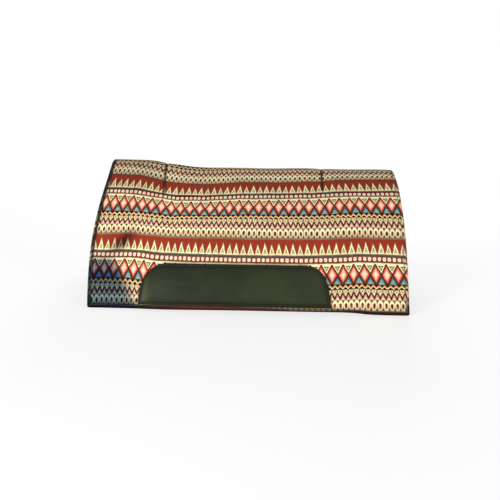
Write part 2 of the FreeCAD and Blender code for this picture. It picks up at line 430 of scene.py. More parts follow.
def dress(tree, surface, colour, roughness, height, strength, relief):
    """Gives a surface its colour, its roughness and a fine relief, in metres."""
    bump = add_node(tree, "ShaderNodeBump", {
        "Height": height, "Strength": strength, "Distance": relief})
    feed(tree, surface.inputs["Base Color"], colour)
    feed(tree, surface.inputs["Roughness"], roughness)
    feed(tree, surface.inputs["Normal"], bump.outputs[0])


def felt_material(name, colour, fleck, fibre_size, relief):
    material, tree, surface = new_material(name)
    place = add_node(tree, "ShaderNodeTexCoord").outputs["Object"]
    felt = place_group(tree, felt_fibres, {
        "Place": place, "Colour": colour, "Fleck": fleck, "Fibre Size": fibre_size})
    dress(tree, surface, felt["Colour"], felt["Roughness"], felt["Height"], 0.6, relief)
    surface.inputs["Specular IOR Level"].default_value = 0.2
    surface.inputs["Sheen Weight"].default_value = 0.35
    surface.inputs["Sheen Roughness"].default_value = 0.5
    return material


def soft_solid(name, shares, top, bottom, inset, radius):
    """A layer with rounded edges, from one depth to another."""
    turns = np.radians([22.5, 45.0, 67.5, 90.0])
    around = [(inset + radius - radius * math.sin(turn), top + radius - radius * math.cos(turn))
              for turn in turns]
    under = [(edge, top + bottom - depth) for edge, depth in around[::-1]]
    first = lie(*pad_level(shares, inset + radius, top), top)
    last = lie(*pad_level(shares, inset + radius, bottom), bottom)
    loops = [border(lie(*pad_level(shares, edge, depth), depth)) for edge, depth in around + under]
    return stacked_mesh(name, first, loops, last)


ply_inset = cover_thickness + ply_gap
layer_shares = (ruled_lines(hem_length / 2 - ply_inset, 9.0, ()), ruled_lines(side_drop, 8.0, ()))
core_felt = felt_material(
    "core_felt", paint(196, 192, 186), paint(138, 134, 128), 800.0, 0.0006)
core_mesh = soft_solid(
    "core_pad", layer_shares, core_top, core_top + core_thickness, ply_inset, 3.0)
core_pad = add_piece(core_mesh, core_felt)
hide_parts("felt_core")

# ---- felt lining ----
# A thinner, closer felt that lies against the horse, cut just inside the cover's
# turned edge and caught by the same edge stitching.

lining_felt = felt_material(
    "lining_felt", paint(166, 159, 149), paint(118, 110, 98), 1150.0, 0.0005)
lining_mesh = soft_solid(
    "lining_sheet", layer_shares, lining_top, pad_thickness, ply_inset, 1.4)
lining_sheet = add_piece(lining_mesh, lining_felt)
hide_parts("felt_lining")

# ---- woven cover ----
# A jacquard tapestry cloth, flat woven in geometric bands, laid over the core, drawn in
# at two darts across the spine and rolled down round every edge to the lining.

cover_shares = (
    ruled_lines(hem_length / 2, 4.9, (front_dart["u"] + 3.0, rear_dart["u"] + 1.0)),
    ruled_lines(side_drop, 4.7, ()))


def cover_loops(inset, radius, bottom):
    """Outline levels of one face of the cover, from its flat edge down to the bottom."""
    levels = []
    for turn in np.radians([15.0, 30.0, 45.0, 60.0, 75.0, 90.0]):
        level = inset + radius - radius * math.sin(turn), inset + radius - radius * math.cos(turn)
        levels.append(level)
    for share in (0.35, 0.7, 1.0):
        levels.append((inset, inset + radius + share * (bottom - inset - radius)))
    return levels


rim_height = pad_thickness - 0.7
outside = cover_loops(0.0, edge_round, rim_height)
inside = cover_loops(cover_thickness, edge_round - cover_thickness, rim_height)
turned = [(0.22, pad_thickness - 0.2), (0.75, pad_thickness), (1.28, pad_thickness - 0.2)]
face_u, face_s = pad_level(cover_shares, edge_round, 0.0)
cover_face = lie(face_u, face_s, 0.0)
back_face = lie(*pad_level(cover_shares, edge_round, cover_thickness), cover_thickness)

# The outline of the wear leathers, which hold the cloth flat and have a painted shadow line round them
# on the cloth.
leather_centre_x = -26.0
leather_foot_length = 484.0
leather_side_slant = 18.0
leather_height = 93.0
leather_foot_height = 13.0
leather_front_corner = 62.0
leather_rear_corner = 50.0
leather_thickness = 2.4


def outside_leather(points):
    """Millimetres from the leather's outline, negative under it, for points in metres."""
    x = points[..., 0] * 1000.0 - leather_centre_x
    radius = np.where(x < 0, leather_front_corner, leather_rear_corner)
    x = np.abs(x)
    z = points[..., 2] * 1000.0
    lean = leather_side_slant / leather_height
    side = (x - leather_foot_length / 2 + lean * (z - leather_foot_height)) / math.hypot(1.0, lean)
    top = z - leather_foot_height - leather_height
    corner = np.hypot(np.maximum(side + radius, 0.0), np.maximum(top + radius, 0.0)) - radius
    flat = np.where((side > -radius) & (top > -radius), corner, np.maximum(side, top))
    return np.maximum(flat, leather_foot_height - z)


def seam_offset(dart, u, s):
    """Distance from a dart's seam, or from its end beyond it."""
    along = np.abs(s) / dart["reach"]
    beyond = np.maximum(np.abs(s) - dart["reach"], 0.0)
    return np.hypot(u - dart["u"] - dart["slant"] * along, beyond)


# The cloth is blown out a little between its seams by a short cloth simulation: the
# rim, the stitch lines, the darts and the cloth under the leathers are held still.
def puffed(rest, held, cap):
    """A grid of points after a short blow from behind, moved outwards by at most the cap."""
    rows, columns = held.shape
    start = rest.reshape(-1, 3)
    mesh = bpy.data.meshes.new("cover_blank")
    mesh.from_pydata(start.tolist(), [], sheet_quads(rows, columns).tolist())
    mesh.update()
    normals = np.zeros(rows * columns * 3)
    mesh.vertex_normals.foreach_get("vector", normals)
    normals = normals.reshape(-1, 3)
    blank = bpy.data.objects.new("cover_blank", mesh)
    scene.collection.objects.link(blank)
    from_inside = start - np.array([0.0, 0.0, 0.05])
    outward = np.sign(np.sum(normals * from_inside, axis=1).sum())
    pins = blank.vertex_groups.new(name="held")
    for index in np.flatnonzero(held.reshape(-1)):
        pins.add([int(index)], 1.0, "REPLACE")
    cloth = blank.modifiers.new("blow", "CLOTH")
    cloth.settings.quality = 4
    cloth.settings.mass = 0.4
    cloth.settings.tension_stiffness = 12.0
    cloth.settings.compression_stiffness = 12.0
    cloth.settings.bending_stiffness = 1.2
    cloth.settings.vertex_group_mass = "held"
    cloth.settings.effector_weights.gravity = 0.0
    cloth.settings.use_pressure = True
    cloth.settings.uniform_pressure_force = 4.0 * outward
    cloth.collision_settings.use_collision = False
    cloth.point_cache.frame_start = 1
    cloth.point_cache.frame_end = 20
    for step in range(1, 21):
        scene.frame_set(step)
    blown = blank.evaluated_get(bpy.context.evaluated_depsgraph_get()).data
    moved = np.zeros(rows * columns * 3)
    blown.vertices.foreach_get("co", moved)
    scene.frame_set(1)
    bpy.data.objects.remove(blank)
    lift = np.sum((moved.reshape(-1, 3) - start) * normals, axis=1) * outward
    lift = cap * np.tanh(np.clip(lift, 0.0, None) / cap)
    lift = lift.reshape(rows, columns)
    for _ in range(3):
        inner = lift[1:-1, 1:-1]
        ring = lift[:-2, 1:-1] + lift[2:, 1:-1] + lift[1:-1, :-2] + lift[1:-1, 2:]
        lift[1:-1, 1:-1] = np.where(held[1:-1, 1:-1], inner, 0.5 * inner + 0.125 * ring)
    return rest + (normals * outward).reshape(rest.shape) * lift[..., None]


from_end = hem_length / 2 - np.abs(face_u)
from_hem = level_edge(face_u, 0.0, 0.0) - np.abs(face_s)
from_edge = np.minimum(from_end, from_hem)
front_seam = seam_offset(front_dart, face_u, face_s)
rear_seam = seam_offset(rear_dart, face_u, face_s)
held = from_edge < edge_stitch_inset + 1.5
held |= np.minimum(front_seam, rear_seam) < 2.0
held |= outside_leather(cover_face) < 2.0
cover_face = puffed(cover_face, held, 0.0028)

loops = [border(lie(*pad_level(cover_shares, inset, depth), depth))
         for inset, depth in outside + turned + inside[::-1]]
cover_mesh = stacked_mesh("woven_cover", cover_face, loops, back_face)

# Each point of the cover carries its place on the loom, so the bands follow the cloth
# round the rim, are cut short where a dart takes out a wedge, and bow where it settled.
# bow_levels holds how far the cloth has crept down the side at places along the back,
# by the distance from the spine; stretch holds how far it has crept along the back.
bow_x = [-360, -300, -238, -190, -122, -22, 78, 164, 224, 284, 373]
bow_levels = {
    90.0: [4.1, 2.8, -6.8, -14.4, -12.6, -1.0, 0.6, 2.2, 2.7, 4.0, 4.4],
    155.0: [4.8, 3.7, -0.8, -8.9, -7.4, 1.8, 1.8, 4.6, 6.6, 10.0, 8.6],
    190.0: [2.9, 3.8, 0.7, -1.1, 2.7, 5.3, 4.0, 4.9, 6.7, 8.8, 6.6],
    232.0: [0.5, 2.9, 0.6, 0.3, 1.8, 1.7, -0.9, -0.9, 0.4, 2.3, -0.8],
    250.0: [0.9, 3.8, 0.5, -1.7, -0.7, -0.8, -1.3, -1.3, 0.2, 2.6, -0.3],
    292.0: [1.7, 5.8, 1.3, 0.8, 0.4, -1.1, 0.0, -1.4, 0.3, 3.9, 2.3],
    350.0: [8.0, 8.9, 1.0, 0.0, 0.0, 0.0, 0.0, 0.0, -0.2, 4.2, 2.6],
    371.0: [6.0, 7.6, 1.1, 0.0, 0.0, 0.0, 0.0, 0.0, 1.6, 6.2, 4.7],
    433.0: [0.0, 0.0, 5.0, 7.0, 7.0, 6.0, 1.0, -3.0, -3.0, 1.0, 3.0]}
stretch_x = [-330, -265, -238, -200, -100, -20, 78, 164, 284, 373]
stretch = [7.0, 5.2, 4.4, 1.2, 1.2, 2.0, 1.5, 0.7, 0.3, 0.8]
loom_middle = 6.6
crowding = 4.0e-5
splay = 9.0e-5


def on_the_loom(x, u, s):
    """Place on the flat cloth, along and across the bands, of a point of the sheet."""
    stops = list(bow_levels)
    bow = np.interp(x, bow_x, bow_levels[stops[0]]) * np.clip((s + 60.0) / 150.0, 0.0, 1.0)
    for low, high in zip(stops, stops[1:]):
        share = np.clip((s - low) / (high - low), 0.0, 1.0)
        step = np.interp(x, bow_x, bow_levels[high]) - np.interp(x, bow_x, bow_levels[low])
        bow = bow + share * step
    off_side = 3.0 * np.sin(x / 83.0 + 1.0) * np.clip(-s / 120.0, 0.0, 1.0)
    off_middle = x - loom_middle
    along = off_middle - crowding * off_middle ** 2 + np.interp(x, stretch_x, stretch)
    along = along / (1.0 + splay * (s - 155.0))
    for dart, side in ((front_dart, -1.0), (rear_dart, 1.0)):
        share = np.abs(s) / dart["reach"]
        wedge = dart["wedge"] * np.clip(1.0 - share, 0.0, None)
        past = side * (u - dart["u"] - dart["slant"] * share) > 0
        along = along + np.where(past, side * wedge, 0.0)
    return along, s + bow + off_side


def rim_places(face_u, face_s, levels):
    """Places on the flat sheet of the outline levels, out past the face and round the rim."""
    base_u = border(face_u)
    base_s = border(face_s)
    edge_u = np.abs(base_u) > np.abs(face_u).max() - 0.01
    edge_s = np.zeros(len(base_s), bool)
    columns = face_s.shape[1] - 1
    rows = face_s.shape[0] - 1
    edge_s[columns:columns + rows + 1] = True
    edge_s[2 * columns + rows:] = True
    edge_s[0] = True
    travel = 0.0
    before = (edge_round, 0.0)
    places = []
    for level in levels:
        travel += math.hypot(level[0] - before[0], level[1] - before[1])
        before = level
        u = base_u + np.where(edge_u, np.sign(base_u) * travel, 0.0)
        s = base_s + np.where(edge_s, np.sign(base_s) * travel, 0.0)
        places.append((u, s))
    return places


cloth_u = [face_u.reshape(-1)]
cloth_s = [face_s.reshape(-1)]
for u, s in rim_places(face_u, face_s, outside + turned + inside[::-1]):
    cloth_u.append(u)
    cloth_s.append(s)
cloth_u = np.concatenate(cloth_u + [face_u.reshape(-1)])
cloth_s = np.concatenate(cloth_s + [face_s.reshape(-1)])
along, across = on_the_loom(taken_up(cloth_u, cloth_s), cloth_u, cloth_s)
corners = np.zeros(len(cover_mesh.loops), dtype=np.int64)
cover_mesh.loops.foreach_get("vertex_index", corners)
loom = np.stack([along, across], axis=-1) * 0.001
cover_mesh.uv_layers.new(name="loom")
cover_mesh.uv_layers["loom"].data.foreach_set("uv", loom[corners].reshape(-1).astype(np.float32))


def add_mask(mesh, name, values):
    """A value for each point, which the material reads by name."""
    mask = mesh.attributes.new(name, "FLOAT", "POINT")
    mask.data.foreach_set("value", values.astype(np.float32))


def read_mask(tree, name):
    return add_node(tree, "ShaderNodeAttribute", attribute_name=name).outputs["Fac"]


def bell(distance, width):
    """1 on a line, and fading away on both sides of it."""
    return np.exp(-(distance / width) ** 2)


# Painted shade on the cloth: in the stitch grooves round the edges and on the outer strip at the
# withers' end, on the rim that is rolled under at the hem, along the hem seam and below the leathers,
# in the darts, on the spine, in the dent and in a small fold, and a little over the top at the
# withers' end; a painted shadow runs round the leathers' edge.
end_gap = hem_length / 2 - np.abs(cloth_u)
edge_gap = np.minimum(end_gap, level_edge(cloth_u, 0.0, 0.0) - np.abs(cloth_s))
dart_gap = np.minimum(
    seam_offset(front_dart, cloth_u, cloth_s), seam_offset(rear_dart, cloth_u, cloth_s))
drop = np.abs(cloth_s)
withers_end = fade(cloth_u, -300.0, 20.0)
front_half = fade(cloth_u, -150.0, 40.0)
rump_end = 1.0 - fade(cloth_u, 210.0, 30.0)
on_roll = 1.0 - fade(drop, 400.0, 4.0)
end_groove = 0.16 + (0.18 + 0.64 * fade(drop, 300.0, 14.0)) * withers_end
groove = np.where(end_gap < edge_gap + 2.0, end_groove, 0.55)
groove = groove * bell(edge_gap - edge_stitch_inset + 0.2, 2.0 + 1.9 * withers_end)
shoulder = fade(drop, 175.0, 22.0) * withers_end
end_strip = (0.14 + 0.60 * shoulder) * withers_end * fade(edge_gap, 8.5, 0.8)
roll = (0.42 + 0.30 * front_half + 0.26 * rump_end) * fade(edge_gap, 8.4, 0.6)
roll = on_roll * np.maximum(0.97 * fade(edge_gap, 4.2, 0.6), roll)
hem_seam = on_roll * front_half * bell(edge_gap - edge_stitch_inset, 3.0)
below_leather = (1.0 - fade(cloth_u, -266.0, 4.0)) * fade(cloth_u, 205.0, 6.0)
below_leather = below_leather * fade(edge_gap, 14.0, 0.8) * on_roll
below_leather = below_leather * (0.30 + 0.20 * fade(cloth_u, -135.0, 22.0))
# Painted shadow in the dent: a soft dark patch lying along it.
off_u = cloth_u + 318.0
off_s = cloth_s - 265.0
along_dent_shadow = -0.68 * off_u + 0.73 * off_s
across_dent_shadow = 0.73 * off_u + 0.68 * off_s
dent_shadow = 0.60 * np.exp(-(along_dent_shadow / 33.0) ** 2 - (across_dent_shadow / 14.0) ** 2)
# Painted shade in a small fold.
fold = 0.5 * np.exp(-((cloth_u + 172.0) / 26.0) ** 4 - ((cloth_s - 122.0) / 2.6) ** 2)
withers = 0.11 * fade(cloth_u, -258.0, 14.0) * fade(drop, 112.0, 12.0)
spine = 0.45 * bell(cloth_s + 13.0, 10.0)
darts = 0.85 * bell(dart_gap, 3.0)
# Painted shadow on the cloth round the leathers' edge.
leather_gap = np.full(len(cloth_u), 99.0)
leather_gap[:face_u.size] = outside_leather(cover_face).reshape(-1)
leather_edge_shadow = 0.94 * np.clip(1.0 - leather_gap / 3.4, 0.0, 1.0)
painted_shade = np.maximum.reduce([
    groove, end_strip, darts, roll, hem_seam, below_leather, spine, dent_shadow, fold, withers,
    leather_edge_shadow])
add_mask(cover_mesh, "painted_shade", np.clip(painted_shade, 0.0, 1.0))

# Painted shade: a cool, deep shade on the lower corner at the withers, and a slightly darker, cooler
# tone over the top of both sides.
shade_line = -338.0 + (cloth_s - 305.0) * 0.56
shade = fade(-cloth_s, -306.0, 5.0) * fade(cloth_u, shade_line, 6.0)
add_mask(cover_mesh, "shade", np.clip(shade, 0.0, 1.0))
add_mask(cover_mesh, "painted_top_shade", np.clip(fade(drop, 116.0, 18.0), 0.0, 1.0))

# The draft, in millimetres of cloth: all bands of one repeat, from the first row on, are
# drawn in square cells of the weave.
band_repeat = 182.0
first_row = 108.0
row_lead = 2.5
cell = 0.95


class Draft:
    """Draws the weaver's draft with nodes: colours laid over one another through masks."""

    def __init__(self, tree, along, across, ground):
        self.tree = tree
        self.along = along
        self.across = across
        self.colour = ground

    def maths(self, operation, *values):
        return sum_up(self.tree, operation, *values)

    def above(self, value, edge, soft=0.7):
        return ranged(self.tree, value, (edge - soft / 2, edge + soft / 2))

    def below(self, value, edge, soft=0.7):
        return self.maths("SUBTRACT", 1.0, self.above(value, edge, soft))

    def both(self, first, *others):
        for other in others:
            first = self.maths("MULTIPLY", first, other)
        return first

    def band(self, low, high):
        return self.both(self.above(self.across, low), self.below(self.across, high))

    def count(self, pitch, shift):
        """Motifs of a row up to this place, with the share of the one it lies in."""
        return self.maths("MULTIPLY_ADD", self.along, 1.0 / pitch, shift)

    def off_motif(self, pitch, shift=0.0):
        """Distance from the middle of the nearest motif in a row."""
        part = self.maths("FRACT", self.count(pitch, shift))
        off = self.maths("ABSOLUTE", self.maths("SUBTRACT", part, 0.5))
        return self.maths("MULTIPLY", off, pitch)

    def turn_about(self, share, pitch, shift=0.0):
        """A value below 1 that changes by this share from each motif to the next."""
        number = self.maths("FLOOR", self.count(pitch, shift))
        return self.maths("FRACT", self.maths("MULTIPLY", number, share))

    def past(self, start):
        return self.maths("SUBTRACT", self.across, start)

    def past_zigzag(self, off, slope, start):
        """How far a place lies past a line that runs off evenly from each motif's middle."""
        return self.maths("SUBTRACT", self.across, self.maths("MULTIPLY_ADD", off, slope, start))

    def spread(self, off, tall, half_width, half_height, power=1.0):
        """Share of the way out of a diamond, or with more power of a rounder shape."""
        wide = self.maths("DIVIDE", off, half_width)
        high = self.maths("DIVIDE", self.maths("ABSOLUTE", tall), half_height)
        if power != 1.0:
            wide = self.maths("POWER", wide, power)
            high = self.maths("POWER", high, power)
        return self.maths("ADD", wide, high)

    def lay(self, colour, *masks):
        self.colour = blend_colours(self.tree, self.both(*masks), self.colour, colour)


bands, fed, give = new_group(
    "woven bands", {"Along": (FLOAT, 0.0), "Across": (FLOAT, 0.0)}, {"Colour": COLOUR})
repeats = sum_up(bands, "SUBTRACT", fed["Across"], first_row)
repeats = sum_up(bands, "FRACT", sum_up(bands, "DIVIDE", repeats, band_repeat))
in_repeat = sum_up(bands, "MULTIPLY_ADD", repeats, band_repeat, -row_lead)
draft = Draft(bands, fed["Along"], in_repeat, paint(248, 233, 171))

# dark line, then a row of small squares on red
for low, high, colour in (
        (-6.0, 0.3, paint(84, 92, 80)), (0.0, 2.9, paint(54, 26, 24)),
        (2.9, 15.6, paint(148, 46, 33)), (14.2, 15.8, paint(92, 36, 30))):
    draft.lay(colour, draft.band(low, high))
off = draft.off_motif(11.6)
tall = draft.past(9.1)
zone = draft.band(2.9, 15.4)
draft.lay(paint(255, 236, 206), draft.below(draft.spread(off, tall, 3.7, 4.7, 3.2), 1.0, 0.5), zone)
draft.lay(paint(196, 134, 106), draft.below(draft.spread(off, tall, 1.5, 1.9), 1.0, 0.5), zone)
draft.lay(paint(126, 96, 72), draft.band(15.8, 18.6))

# tall diamonds between cream triangles above and blue ones below
diamond_pitch = 25.7
off = draft.off_motif(diamond_pitch, 0.5)
tall = draft.past(46.8)
size = draft.spread(off, tall, diamond_pitch / 2, 25.0)
zone = draft.band(21.2, 72.0)
upper_half = draft.both(zone, draft.below(tall, 0.0))
lower_half = draft.both(zone, draft.above(tall, 0.0))
draft.lay(paint(255, 246, 200), upper_half, draft.above(size, 0.9, 0.02))
for edge, start, colour in (
        (1.34, 25.0, paint(118, 108, 62)), (1.54, 28.4, paint(240, 230, 160)),
        (1.78, 31.4, paint(112, 104, 66))):
    inner = draft.both(draft.above(size, edge, 0.03), draft.above(draft.across, start))
    draft.lay(colour, upper_half, inner)
draft.lay(paint(36, 52, 46), lower_half, draft.above(size, 0.9, 0.02))
draft.lay(paint(62, 108, 98), lower_half, draft.above(size, 1.18, 0.04))
speck_place = add_node(bands, "ShaderNodeCombineXYZ", {0: draft.along, 1: draft.across})
speck = add_node(
    bands, "ShaderNodeTexWhiteNoise", {"Vector": speck_place.outputs[0]}, noise_dimensions="2D")
inner = draft.both(lower_half, draft.above(size, 1.40, 0.05), draft.above(tall, 11.0, 5.0))
draft.lay(paint(92, 128, 136), inner)
draft.lay(paint(172, 188, 198), inner, draft.above(speck.outputs["Value"], 0.48, 0.3))
for edge, soft, colour in (
        (1.15, 0.02, paint(66, 22, 18)), (0.92, 0.04, paint(196, 62, 40)),
        (0.72, 0.14, paint(236, 138, 108)), (0.52, 0.16, paint(250, 208, 180)),
        (0.22, 0.14, paint(250, 236, 196))):
    draft.lay(colour, zone, draft.below(size, edge, soft))
draft.lay(paint(44, 42, 34), draft.band(70.6, 72.6))

# orange and cream zigzag on black
draft.lay(paint(18, 15, 13), draft.band(72.4, 85.2))
off = draft.off_motif(diamond_pitch / 2)
past_line = draft.past_zigzag(off, 7.2 / (diamond_pitch / 4), 78.4 - 3.6)
strand = draft.below(draft.maths("ABSOLUTE", past_line), 2.7)
strand = draft.both(strand, draft.band(72.4, 85.6))
draft.lay(paint(252, 224, 168), strand)
draft.lay(paint(230, 150, 66), strand, draft.below(past_line, 0.3, 1.8))

# nested cream chevrons over a maroon zigzag, with small red points between
chevron_pitch = 13.0
off = draft.off_motif(chevron_pitch, 0.25)
zone = draft.band(85.2, 108.2)
depth = draft.past(85.2)
aside = draft.maths("DIVIDE", off, chevron_pitch / 2)
size = draft.maths("ADD", aside, draft.maths("DIVIDE", depth, 18.0))
draft.lay(paint(252, 232, 180), zone)
for inner, outer, colour in ((0.26, 0.48, paint(132, 98, 62)), (0.84, 1.04, paint(126, 66, 48))):
    ring = draft.both(draft.above(size, inner, 0.05), draft.below(size, outer, 0.05))
    draft.lay(colour, zone, ring)
notch = draft.maths("SUBTRACT", aside, draft.maths("DIVIDE", depth, 12.0))
draft.lay(paint(92, 62, 40), zone, draft.above(notch, 0.66, 0.05))
past_line = draft.past_zigzag(aside, -13.6, 105.8)
point = draft.both(draft.above(past_line, -9.0), draft.above(aside, 0.62, 0.1))
draft.lay(paint(164, 46, 40), zone, point, draft.above(depth, 7.5))
draft.lay(paint(226, 168, 144), zone, draft.above(past_line, 0.0))
draft.lay(paint(244, 212, 178), zone, draft.above(past_line, 8.0))
draft.lay(paint(64, 12, 20), zone, draft.below(draft.maths("ABSOLUTE", past_line), 3.3))
draft.lay(paint(186, 152, 108), draft.band(107.0, 108.6))

# row of seeds in cream arches, at the chevrons' pitch
odd = draft.turn_about(0.618, chevron_pitch, 0.25)
zone = draft.band(108.6, 131.2)
draft.lay(paint(214, 200, 158), zone)
arch = draft.maths("SQRT", draft.spread(off, draft.past(118.0), 5.4, 9.0, 2.0))
draft.lay(paint(255, 246, 196), zone, draft.below(arch, 1.0, 0.25))
between = draft.maths("SUBTRACT", chevron_pitch / 2, off)
for start, slope, colour in ((115.6, -0.5, paint(92, 80, 48)), (124.0, 0.5, paint(96, 80, 54))):
    spike = draft.maths("MULTIPLY", draft.past(start), slope)
    draft.lay(colour, zone, draft.above(draft.maths("SUBTRACT", spike, between), 0.0))
tall = draft.past(121.2)
seed = draft.maths("SQRT", draft.spread(off, tall, 4.9, 9.4, 2.0))
kernel = draft.both(zone, draft.below(seed, 0.58, 0.10))
draft.lay(paint(206, 160, 118), zone, draft.below(seed, 0.72, 0.12))
draft.lay(blend_colours(bands, odd, paint(84, 20, 22), paint(186, 74, 48)), kernel)
draft.lay(paint(64, 22, 20), kernel, draft.below(tall, -1.8, 1.0))

# taupe line, then cream spikes standing in brick red
draft.lay(paint(142, 116, 90), draft.band(131.2, 133.8))
draft.lay(paint(100, 34, 28), draft.band(133.8, 135.6))
draft.lay(paint(152, 55, 37), draft.above(draft.across, 135.6))
spike_pitch = 17.5
off = draft.off_motif(spike_pitch)
short = draft.turn_about(0.5, spike_pitch)
tip = draft.maths("MULTIPLY_ADD", short, 7.0, 146.5)
slope = draft.maths("MULTIPLY_ADD", short, 0.02, 0.262)
half_width = draft.maths("MULTIPLY", draft.maths("SUBTRACT", draft.across, tip), slope)
spike = draft.maths("SUBTRACT", half_width, off)
zone = draft.band(144.0, 176.6)
draft.lay(paint(150, 78, 36), zone, draft.above(spike, -1.7, 1.0))
draft.lay(paint(255, 244, 190), zone, draft.above(spike, 0.0, 0.8))
heart = draft.maths("SUBTRACT", draft.maths("MULTIPLY", draft.past(159.0), 0.235), off)
zone = draft.band(158.0, 174.0)
draft.lay(paint(104, 94, 56), zone, draft.above(heart, 0.0, 0.6))
draft.lay(paint(232, 216, 150), zone, draft.above(heart, 1.5, 0.6))
draft.lay(paint(236, 220, 172), draft.band(176.0, 178.2))
draft.lay(paint(84, 92, 80), draft.above(draft.across, 178.2))
bands.links.new(draft.colour, give["Colour"])

weave, fed, give = new_group(
    "plain weave",
    {"Along": (FLOAT, 0.0), "Across": (FLOAT, 0.0), "Thread": (FLOAT, 1.0)},
    {"Height": FLOAT, "Tone": FLOAT})
steps = []
crowns = []
for axis in ("Along", "Across"):
    turns = sum_up(weave, "DIVIDE", fed[axis], fed["Thread"])
    steps.append(sum_up(weave, "FLOOR", turns))
    swell = sum_up(weave, "SINE", sum_up(weave, "MULTIPLY", turns, math.pi))
    crowns.append(sum_up(weave, "ABSOLUTE", swell))
half_steps = sum_up(weave, "MULTIPLY", sum_up(weave, "ADD", *steps), 0.5)
over = sum_up(weave, "MULTIPLY", sum_up(weave, "FRACT", half_steps), 2.0)
height = add_node(weave, "ShaderNodeMix", {0: over, 2: crowns[0], 3: crowns[1]}, data_type="FLOAT")
weave.links.new(height.outputs[0], give["Height"])
cell_place = add_node(weave, "ShaderNodeCombineXYZ", {0: steps[0], 1: steps[1]})
speck = add_node(
    weave, "ShaderNodeTexWhiteNoise", {"Vector": cell_place.outputs[0]}, noise_dimensions="2D")
weave.links.new(speck.outputs["Value"], give["Tone"])

cover_cloth, tree, surface = new_material("woven_cover_cloth")
loom_place = add_node(tree, "ShaderNodeUVMap", uv_map="loom").outputs[0]
in_mm = add_node(tree, "ShaderNodeMapping", {
    "Vector": loom_place, "Scale": (1000.0, 1000.0, 1000.0)}).outputs[0]
loom_axes = add_node(tree, "ShaderNodeSeparateXYZ", {0: in_mm}).outputs
drift = noise(tree, in_mm, 0.017, 2.0, noise_dimensions="2D")["Color"]
jitter = noise(tree, in_mm, 0.11, 1.0, noise_dimensions="2D")["Color"]
drift_axes = add_node(tree, "ShaderNodeSeparateColor", {0: drift}).outputs
jitter_axes = add_node(tree, "ShaderNodeSeparateColor", {0: jitter}).outputs
warped = []
picked = []
for axis, (broad, fine) in enumerate(((6.0, 1.2), (3.0, 1.4))):
    value = sum_up(tree, "MULTIPLY_ADD", drift_axes[axis], broad, loom_axes[axis])
    value = sum_up(tree, "MULTIPLY_ADD", jitter_axes[axis], fine, value)
    value = sum_up(tree, "SUBTRACT", value, (broad + fine) / 2)
    warped.append(value)
    cells = sum_up(tree, "FLOOR", sum_up(tree, "DIVIDE", value, cell))
    picked.append(sum_up(tree, "MULTIPLY", cells, cell))
pattern = place_group(tree, bands, {"Along": picked[0], "Across": picked[1]})
threads = place_group(tree, weave, {"Along": warped[0], "Across": warped[1], "Thread": cell})
brightness = ranged(tree, threads["Tone"], (0.0, 1.0), (0.84, 1.16))
patch_tone = ranged(tree, noise(tree, in_mm, 0.03, 3.0)[0], (0.3, 0.7), (0.93, 1.07))
crown_tone = ranged(tree, threads["Height"], (0.0, 1.0), (0.84, 1.06))
tone = sum_up(tree, "MULTIPLY", sum_up(tree, "MULTIPLY", brightness, patch_tone), crown_tone)
dyed = scaled(tree, pattern["Colour"], tone)
# Painted shade over the top of both sides: the cloth is made a little darker and cooler.
top_shade_tint = blend_colours(tree, 1.0, dyed, paint(239, 242, 246), "MULTIPLY")
cloth_with_top_shade = blend_colours(tree, read_mask(tree, "painted_top_shade"), dyed, top_shade_tint)
# Painted shade: the cloth is drawn towards near-black where the painted shade mask is set.
unshaded_share = sum_up(tree, "POWER", sum_up(tree, "SUBTRACT", 1.0, read_mask(tree, "painted_shade")), 2.2)
cloth_in_painted_shade = blend_colours(tree, unshaded_share, paint(12, 13, 9), cloth_with_top_shade)
# Painted cool shade on the lower corner at the withers: the colour is deepened, cooled and a touch of
# blue laid in.
deeper = add_node(tree, "ShaderNodeGamma", {"Color": cloth_in_painted_shade, "Gamma": 1.6}).outputs[0]
cooled = blend_colours(tree, 1.0, deeper, paint(110, 148, 198), "MULTIPLY")
cooled = blend_colours(tree, 0.025, cooled, paint(40, 80, 160))
shaded = blend_colours(tree, read_mask(tree, "shade"), cloth_in_painted_shade, cooled)
rough = ranged(tree, threads["Tone"], (0.0, 1.0), (0.78, 0.95))
dress(tree, surface, shaded, rough, threads["Height"], 0.55, 0.0004)
surface.inputs["Specular IOR Level"].default_value = 0.08
surface.inputs["Sheen Weight"].default_value = 0.02
surface.inputs["Sheen Roughness"].default_value = 0.4
woven_cover = add_piece(cover_mesh, cover_cloth)
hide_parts("top_cover")

# ---- edge and dart seams ----
# Lockstitches of waxed dark thread: round every edge, 9 mm in, through all the layers,
# and down each dart, sunk into the crease.  Stitch sizes are in metres.

seam_pitch = 0.0042
close_pitch = 0.0036
stitch_share = 0.88
thread_radius = 0.0006
stitch_tilt = 0.12
stitch_run = bpy.data.node_groups.new("run of stitches", "GeometryNodeTree")
stitch_run.interface.new_socket("Path", in_out="INPUT", socket_type="NodeSocketGeometry")
sizes = {}
for label, kind, value in (
        ("Pitch", FLOAT, seam_pitch), ("Stitch Length", FLOAT, seam_pitch * stitch_share),
        ("Thread Radius", FLOAT, thread_radius), ("Thread", "NodeSocketMaterial", None)):
    socket = stitch_run.interface.new_socket(label, in_out="INPUT", socket_type=kind)
    sizes[label] = socket.identifier
    if value is not None:
        socket.default_value = value
stitch_run.interface.new_socket("Stitches", in_out="OUTPUT", socket_type="NodeSocketGeometry")
fed = stitch_run.nodes.new("NodeGroupInput").outputs
give = stitch_run.nodes.new("NodeGroupOutput").inputs
spaced = add_node(stitch_run, "GeometryNodeResampleCurve", mode="LENGTH")
feed(stitch_run, spaced.inputs["Curve"], fed["Path"])
feed(stitch_run, spaced.inputs["Length"], fed["Pitch"])
tangent = add_node(stitch_run, "GeometryNodeInputTangent")
turned_to = add_node(
    stitch_run, "FunctionNodeAlignRotationToVector", {"Vector": tangent.outputs[0]}, axis="X")
